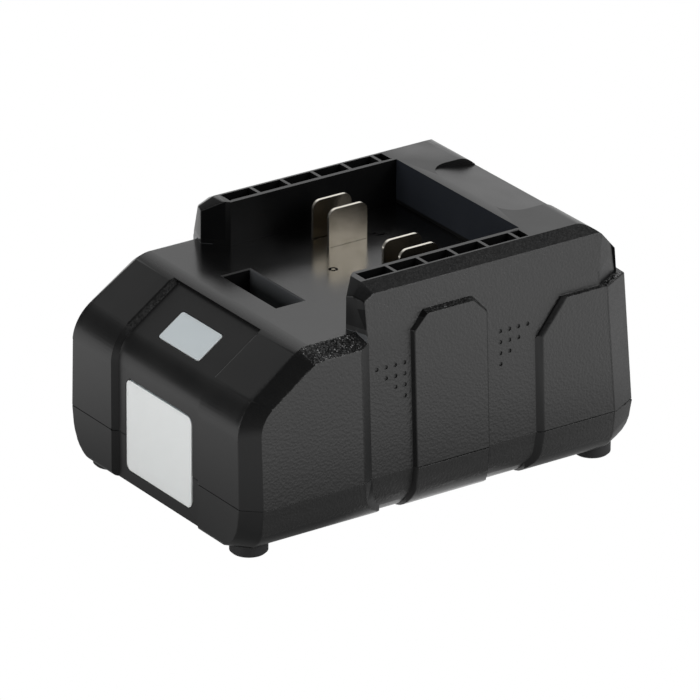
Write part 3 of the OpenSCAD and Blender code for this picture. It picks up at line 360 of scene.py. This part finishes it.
def housing_shine(s, faces):
    """The specular level, lower in the bay, on plain strips and rail tips, and low down and to the rear."""
    shine = s.blend(faces.bay_wall, SHINE, SHINE_IN_BAY)
    rearward = s.all_of(faces.rearward, faces.rearward_loss)
    strip_loss = s.math("MULTIPLY", faces.plain_strip, STRIP_LOSS)
    tip_loss = s.math("MULTIPLY", faces.rail_tip, RAIL_TIP_LOSS)
    loss = s.math("ADD", s.math("ADD", faces.low_side_loss, tip_loss), s.either(rearward, strip_loss))
    return s.without(shine, loss)


def housing_plastic():
    """Black moulding: glossy deck, satin front, leather sides and sparkling edge strips.

    The real housing is one plastic. Its tone and shine change by place here to stand in for the
    photograph's lighting, and were set from mean tones from that one side.
    """
    s = Shader("housing_plastic")
    faces = housing_faces(s)
    patches = s.noise(PATCH, 3.0, 0.5)
    s.feed("Normal", housing_normal(s, faces))
    s.feed("Base Color", housing_tone(s, faces, patches))
    s.feed("Specular IOR Level", housing_shine(s, faces))
    satin = s.ramp(patches, 0.2, 0.8, *SATIN)
    rough = s.math("ADD", satin, s.math("MULTIPLY", faces.side, SIDE_ROUGHER))
    s.feed("Roughness", s.math("SUBTRACT", rough, s.math("MULTIPLY", faces.deck, DECK_GLOSSIER)))
    return s.material


def window_plastic():
    """Milky diffuser, darker on the slope than in the front."""
    s = Shader("window_plastic")
    s.feed("Roughness", 0.38)
    s.feed("Subsurface Weight", 0.35)
    s.feed("Subsurface Radius", (1.0, 1.0, 1.0))
    s.feed("Subsurface Scale", 1.5 * MM)
    milky = s.mix_color(s.noise(7 * MM, 2.0, 0.4), *WINDOW_MILKY)
    _, _, nz = s.facing()
    s.feed("Base Color", s.mix_color(s.ramp(nz, 0.2, 0.5), milky, WINDOW_ON_SLOPE))
    s.feed("Normal", s.bump(s.noise(0.3 * MM), 0.004 * MM, 0.5))
    return s.material


def contact_metal():
    """Warm nickel plate with faint drawing lines; the flat faces are darker as painted shade and the edges
    lighter as painted highlight.
    """
    s = Shader("contact_metal", metallic=1.0)
    lines = s.noise(0.25 * MM, 3.0, 0.6, place=s.stretched((1.0, 0.06, 1.0)))
    stain = s.noise(3.5 * MM, 3.0, 0.6)
    # Flat faces darkened as painted shade, with random stains
    face = s.mix_color(s.ramp(stain, 0.35, 0.7), *BLADE_FACE_SHADED)
    nx, _, _ = s.facing()
    # Painted highlight on the narrow edges, painted shade on the flat faces
    s.feed("Base Color", s.mix_color(s.ramp(s.absolute(nx), 0.80, 0.96), BLADE_EDGE_HIGHLIGHT, face))
    s.feed("Roughness", s.ramp(lines, 0.3, 0.7, 0.25, 0.27))
    s.feed("Normal", s.bump(lines, 0.0004 * MM, 0.15))
    return s.material


def darker(color, share):
    return tuple(c * share for c in color)


def plain_metal(name, color, roughness, grain_size):
    s = Shader(name, metallic=1.0)
    grain = s.noise(grain_size, 3.0, 0.6)
    s.feed("Base Color", s.mix_color(grain, darker(color, 0.8), color))
    s.feed("Roughness", s.ramp(grain, 0.3, 0.7, roughness - 0.06, roughness + 0.06))
    s.feed("Normal", s.bump(grain, 0.01 * MM, 0.5))
    return s.material


def moulding(name, color, roughness, grain_size, depth):
    """A moulded or coated surface with its own grain and slight variation of tone."""
    s = Shader(name)
    grain = s.noise(grain_size, 3.0, 0.6)
    s.feed("Base Color", s.mix_color(s.noise(grain_size * 12), darker(color, 0.75), color))
    s.feed("Roughness", s.ramp(grain, 0.3, 0.7, roughness - 0.05, roughness + 0.05))
    s.feed("Normal", s.bump(grain, depth, 0.7))
    return s.material


def circuit_board():
    """Green mask over copper, with a faint weave."""
    s = Shader("circuit_board")
    s.feed("Roughness", 0.28)
    tracks = s.ramp(s.cells(5 * MM, "DISTANCE_TO_EDGE"), 0.03, 0.05)
    s.feed("Base Color", s.mix_color(tracks, (0.03, 0.19, 0.08), (0.012, 0.085, 0.035)))
    s.feed("Normal", s.bump(tracks, 0.03 * MM, 0.5, s.bump(s.noise(0.4 * MM), 0.008 * MM, 0.5)))
    return s.material


# Colour, roughness, grain size and grain depth
MOULDINGS = {
    "inner_plastic": ((0.05, 0.05, 0.053), 0.5, 0.3 * MM, 0.01 * MM),
    "light_part": ((0.72, 0.68, 0.42), 0.25, 0.5 * MM, 0.005 * MM),
    "lead_red": ((0.42, 0.02, 0.015), 0.45, 0.4 * MM, 0.008 * MM),
    "lead_brown": ((0.09, 0.035, 0.016), 0.45, 0.4 * MM, 0.008 * MM),
    "ferrite": ((0.045, 0.045, 0.048), 0.6, 0.35 * MM, 0.03 * MM),
    "winding_tape": ((0.55, 0.40, 0.04), 0.3, 0.9 * MM, 0.02 * MM),
    "capacitor_sleeve": ((0.02, 0.026, 0.05), 0.25, 0.8 * MM, 0.01 * MM),
    "moulded_black": ((0.018, 0.018, 0.018), 0.42, 0.25 * MM, 0.012 * MM),
    "fuse_ceramic": ((0.62, 0.59, 0.5), 0.35, 0.4 * MM, 0.01 * MM),
    "foot_rubber": ((0.013, 0.013, 0.014), 0.62, 0.3 * MM, 0.02 * MM),
}

# Colour, roughness and grain size
METALS = {
    "screw_steel": ((0.45, 0.44, 0.42), 0.34, 0.4 * MM),
    "sink_aluminium": ((0.62, 0.62, 0.63), 0.4, 0.3 * MM),
    "pin_brass": ((0.66, 0.60, 0.46), 0.24, 0.3 * MM),
}

MATERIALS = {
    "housing_plastic": housing_plastic(),
    "window_plastic": window_plastic(),
    "contact_metal": contact_metal(),
    "circuit_board": circuit_board(),
    **{slot: moulding(slot, *look) for slot, look in MOULDINGS.items()},
    **{slot: plain_metal(slot, *look) for slot, look in METALS.items()},
}


# ---------- CAD pieces: finish and soft edges ----------

CREASE = math.radians(24)
WELD_STEP = 0.001 * MM
LONG_EDGE = 1.6 * MM
SLIVER = 0.06 * MM
EDGE_RADIUS = {
    "housing_plastic": 0.34 * MM,
    "window_plastic": 0.18 * MM,
    "contact_metal": 0.14 * MM,
    "foot_rubber": 0.25 * MM,
    "moulded_black": 0.15 * MM,
}


def spot(co):
    return tuple(round(c / WELD_STEP) for c in co)


def width(face):
    """The mean width of a face across its longest edge; a bevel would turn a sliver over."""
    longest = max(edge.calc_length() for edge in face.edges)
    return face.calc_area() / longest


def soften_long_edges(node, radius):
    """Bevels the long sharp convex edges, and leaves pits, slivers and short facets alone."""
    mesh = bmesh.new()
    mesh.from_mesh(node.data)
    bmesh.ops.remove_doubles(mesh, verts=mesh.verts, dist=WELD_STEP)
    risky = {v for face in mesh.faces if width(face) < SLIVER for v in face.verts}
    sharp = set()
    for edge in mesh.edges:
        whole = len(edge.link_faces) == 2 and risky.isdisjoint(edge.verts)
        if not whole or not edge.is_convex or any(width(face) < radius for face in edge.link_faces):
            continue
        if edge.calc_length() > LONG_EDGE and edge.calc_face_angle(0.0) > CREASE:
            sharp.add(frozenset(spot(v.co) for v in edge.verts))
    mesh.free()
    weights = node.data.attributes.new("bevel_weight_edge", "FLOAT", "EDGE")
    vertices = node.data.vertices
    for edge in node.data.edges:
        ends = frozenset(spot(vertices[i].co) for i in edge.vertices)
        weights.data[edge.index].value = 1.0 if ends in sharp else 0.0
    bevel = node.modifiers.new("bevel", "BEVEL")
    bevel.width = radius
    bevel.segments = 2
    bevel.limit_method = "WEIGHT"
    bevel.use_clamp_overlap = False


def dress(node):
    slot = slot_of[node.name]
    node.data.materials.clear()
    node.data.materials.append(MATERIALS[slot])
    with bpy.context.temp_override(object=node, active_object=node, mesh=node.data):
        bpy.ops.mesh.customdata_custom_splitnormals_clear()
    weld = node.modifiers.new("weld", "WELD")
    weld.merge_threshold = WELD_STEP
    if slot in EDGE_RADIUS:
        soften_long_edges(node, EDGE_RADIUS[slot])
    split = node.modifiers.new("creases", "EDGE_SPLIT")
    split.split_angle = CREASE
    split.use_edge_sharp = False
    flat = node.modifiers.new("flat_faces", "WEIGHTED_NORMAL")
    flat.weight = 100
    flat.keep_sharp = True
    node.data.shade_smooth()


for cad_node in nodes.values():
    dress(cad_node)


# ---------- studio ----------

WHITE = (1.0, 1.0, 1.0, 1.0)
FLOOR_SIZE = 6.0
FLOOR_GREY = (0.78, 0.78, 0.78, 1.0)

# The floor as the object mirrors it: its level near and far, darker near the object as a painted shadow,
# and the distances between which that changes
SWEEP_SHADOW_LEVELS = (0.22, 0.92)
SWEEP_REACH = (0.04, 0.16)
# Its glow under the object, a painted pool of light
SWEEP_UNDER = 0.75
SWEEP_UNDER_REACH = (0.036, 0.056)
# The direction in which it brightens as painted light, the cosines between which it does, and the gain
# there
SWEEP_SIDE = (0.82, 0.57, 0.0)
SWEEP_SIDE_SPREAD = (0.1, 0.95)
SWEEP_PAINTED_LIGHT_GAIN = 1.7

# The room as the object mirrors it: its level, its bright windows with their direction and peak, and the
# cosines between which one comes up
ROOM_LEVEL = 0.10
ROOM_WINDOWS = (
    ((-0.75, 0.55, 0.36), 0.90),
    ((0.80, 0.50, 0.25), 1.10),
)
ROOM_WINDOW_SPREAD = (0.55, 0.92)


class Stage(Nodes):
    """The nodes of a floor or world: white to the camera, something else to the object."""

    def __init__(self, tree):
        super().__init__(tree)
        tree.nodes.clear()

    def shader(self, kind, **inputs):
        return self.node(kind, {}, inputs).outputs[0]

    def mix(self, factor, a, b):
        return self.node("ShaderNodeMixShader", {}, {0: factor, 1: a, 2: b}).outputs[0]

    def finish(self, kind, shader):
        self.node(kind, {}, {"Surface": shader})


def add_floor():
    """White to the camera, and clear from below; to the object a sweep that brightens away from a painted
    shadow near it, with a painted pool of light under it and painted light to the rear right.
    """
    half = FLOOR_SIZE / 2
    mesh = bpy.data.meshes.new("floor")
    square = [(-half, -half, 0), (half, -half, 0), (half, half, 0), (-half, half, 0)]
    mesh.from_pydata(square, [], [(0, 1, 2, 3)])
    floor = bpy.data.objects.new("floor", mesh)
    bpy.context.scene.collection.objects.link(floor)
    material = bpy.data.materials.new("floor")
    material.use_nodes = True
    stage = Stage(material.node_tree)
    place = stage.node("ShaderNodeTexCoord").outputs["Object"]
    away = stage.vector("LENGTH", place, output="Value")
    # Painted shadow near the object, and a painted pool of light under it
    around = stage.math("MAXIMUM", stage.ramp(away, *SWEEP_REACH, *SWEEP_SHADOW_LEVELS),
                        stage.ramp(away, *SWEEP_UNDER_REACH, SWEEP_UNDER, 0.0))
    cosine = stage.math("DIVIDE", stage.vector("DOT_PRODUCT", place, SWEEP_SIDE, "Value"), away)
    # Painted light toward the rear right
    sweep = stage.math("MULTIPLY", around, stage.ramp(cosine, *SWEEP_SIDE_SPREAD, 1.0, SWEEP_PAINTED_LIGHT_GAIN))
    ray = stage.node("ShaderNodeLightPath").outputs
    to_object = stage.mix(ray["Is Glossy Ray"], stage.shader("ShaderNodeBsdfDiffuse", Color=FLOOR_GREY),
                          stage.shader("ShaderNodeEmission", Strength=sweep))
    white = stage.shader("ShaderNodeEmission", Strength=1.0)
    from_above = stage.mix(ray["Is Camera Ray"], to_object, white)
    from_below = stage.node("ShaderNodeNewGeometry").outputs["Backfacing"]
    clear = stage.shader("ShaderNodeBsdfTransparent")
    stage.finish("ShaderNodeOutputMaterial", stage.mix(from_below, from_above, clear))
    floor.data.materials.append(material)


def add_world():
    """White to the camera; to the object bright paper behind it on both sides and a dim room elsewhere."""
    world = bpy.data.worlds.new("studio")
    bpy.context.scene.world = world
    world.use_nodes = True
    stage = Stage(world.node_tree)
    way = stage.node("ShaderNodeTexCoord").outputs["Generated"]
    level = ROOM_LEVEL
    for direction, peak in ROOM_WINDOWS:
        toward = stage.vector("DOT_PRODUCT", way, Vector(direction).normalized(), "Value")
        level = stage.math("MAXIMUM", level, stage.ramp(toward, *ROOM_WINDOW_SPREAD, ROOM_LEVEL, peak))
    room = stage.shader("ShaderNodeBackground", Color=WHITE, Strength=level)
    white = stage.shader("ShaderNodeBackground", Color=WHITE, Strength=1.0)
    seen = stage.node("ShaderNodeLightPath").outputs["Is Camera Ray"]
    stage.finish("ShaderNodeOutputWorld", stage.mix(seen, room, white))


def add_softbox(name, place, aim, size, power):
    data = bpy.data.lights.new(name, "AREA")
    data.shape = "RECTANGLE"
    data.size = size[0]
    data.size_y = size[1]
    data.energy = power
    light = bpy.data.objects.new(name, data)
    light.location = place
    light.rotation_euler = (Vector(aim) - Vector(place)).to_track_quat("-Z", "Y").to_euler()
    bpy.context.scene.collection.objects.link(light)


add_camera()
add_floor()
add_world()
add_softbox("front", place=(-0.1, -1.6, 0.45), aim=(0, 0, 0.03), size=(1.2, 0.8), power=12.0)
add_softbox("edge_light", place=(-0.45, -0.8, 1.0), aim=(0, 0, 0.04), size=(0.35, 0.35), power=0.7)
add_softbox("right_rear", place=(1.3, 0.9, 0.9), aim=(0, 0, 0.04), size=(0.9, 0.7), power=12.0)

bpy.context.scene.view_settings.view_transform = "Standard"
